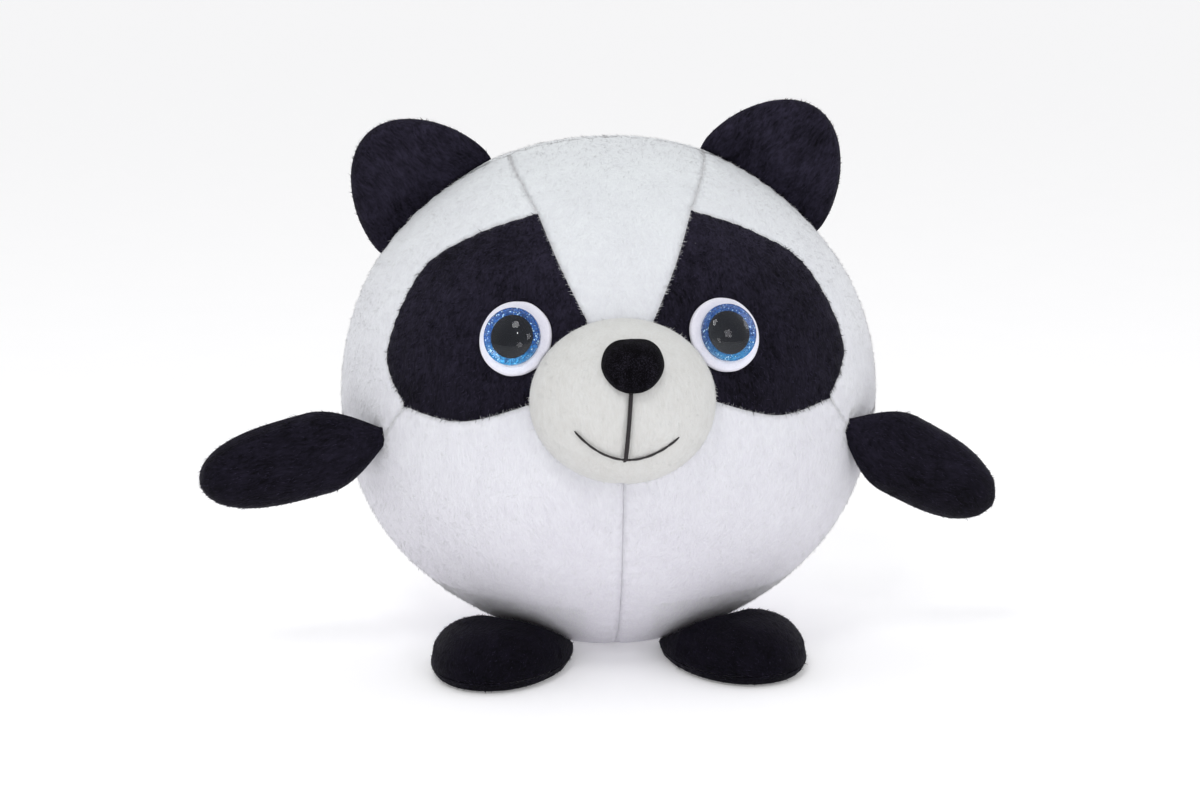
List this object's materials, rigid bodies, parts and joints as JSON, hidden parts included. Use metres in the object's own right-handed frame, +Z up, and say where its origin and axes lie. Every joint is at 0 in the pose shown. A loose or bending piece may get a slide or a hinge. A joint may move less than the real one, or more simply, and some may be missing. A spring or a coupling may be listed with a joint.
{
  "type": "plush panda",
  "caption": "Ball-shaped plush panda soft toy with folding ears, arms and feet, domed muzzle and glitter safety eyes.",
  "frame": {"origin": "middle of the flat underside that the toy sits on, under the centre of its body", "axes": "+Z up, the face looks along -Y, +X towards the toy's own left side"},
  "size_m": [0.2882, 0.2162, 0.1991],
  "materials": {
    "white_plush": "matte",
    "cream_plush": "matte",
    "black_plush": "matte",
    "black_velvet": "matte",
    "black_thread": "satin",
    "white_felt": "matte",
    "fibrefill": "matte",
    "clear_plastic": "gloss",
    "blue_glitter": "gloss",
    "black_plastic": "gloss",
    "white_plastic": "matte"
  },
  "bodies": {
    "ball": {"forehead_panel": "white_plush", "eye_patch_left": "black_plush", "temple_panel_left": "white_plush", "belly_panel_left": "white_plush", "head_back_panel_left": "white_plush", "back_panel_left": "white_plush", "eye_patch_right": "black_plush", "temple_panel_right": "white_plush", "belly_panel_right": "white_plush", "head_back_panel_right": "white_plush", "back_panel_right": "white_plush", "body_stuffing": "fibrefill", "muzzle_cover": "cream_plush", "muzzle_stuffing": "fibrefill", "nose": "black_velvet", "mouth_stitch": "black_thread", "smile_stitch": "black_thread", "eye_felt_left": "white_felt", "eye_glitter_disc_left": "blue_glitter", "eye_lens_left": "clear_plastic", "eye_pupil_post_left": "black_plastic", "eye_washer_left": "white_plastic", "eye_felt_right": "white_felt", "eye_glitter_disc_right": "blue_glitter", "eye_lens_right": "clear_plastic", "eye_pupil_post_right": "black_plastic", "eye_washer_right": "white_plastic"},
    "ear_left": {"ear_front_left": "black_plush", "ear_back_left": "black_plush"},
    "arm_left": {"arm_front_left": "black_plush", "arm_back_left": "black_plush", "arm_stuffing_left": "fibrefill"},
    "foot_left": {"foot_sole_left": "black_plush", "foot_upper_left": "black_plush", "foot_stuffing_left": "fibrefill"},
    "ear_right": {"ear_front_right": "black_plush", "ear_back_right": "black_plush"},
    "arm_right": {"arm_front_right": "black_plush", "arm_back_right": "black_plush", "arm_stuffing_right": "fibrefill"},
    "foot_right": {"foot_sole_right": "black_plush", "foot_upper_right": "black_plush", "foot_stuffing_right": "fibrefill"}
  },
  "joints": [
    {"name": "ear_left_fold", "type": "hinge", "parent": "ball", "child": "ear_left", "pos_m": [0.05891, 0, 0.16877], "axis": [0.7934, 0, -0.6088], "range_deg": [-40, 40], "stiffness_Nm_per_rad": 0.03},
    {"name": "arm_left_fold", "type": "hinge", "parent": "ball", "child": "arm_left", "pos_m": [0.083, -0.05326, 0.0865], "axis": [-0.4683, -0.1522, -0.8704], "range_deg": [-12, 45], "stiffness_Nm_per_rad": 0.12},
    {"name": "foot_left_fold", "type": "hinge", "parent": "ball", "child": "foot_left", "pos_m": [0.035, -0.022, 0.003], "axis": [0.9703, 0.2419, 0], "range_deg": [-8, 25], "stiffness_Nm_per_rad": 0.12},
    {"name": "ear_right_fold", "type": "hinge", "parent": "ball", "child": "ear_right", "pos_m": [-0.065, 0, 0.16419], "axis": [0.7431, 0, 0.6691], "range_deg": [-40, 40], "stiffness_Nm_per_rad": 0.03},
    {"name": "arm_right_fold", "type": "hinge", "parent": "ball", "child": "arm_right", "pos_m": [-0.083, -0.05326, 0.0865], "axis": [-0.2582, 0.018, 0.9659], "range_deg": [-12, 45], "stiffness_Nm_per_rad": 0.12},
    {"name": "foot_right_fold", "type": "hinge", "parent": "ball", "child": "foot_right", "pos_m": [-0.035, -0.022, 0.003], "axis": [0.9703, -0.2419, 0], "range_deg": [-8, 25], "stiffness_Nm_per_rad": 0.12}
  ]
}
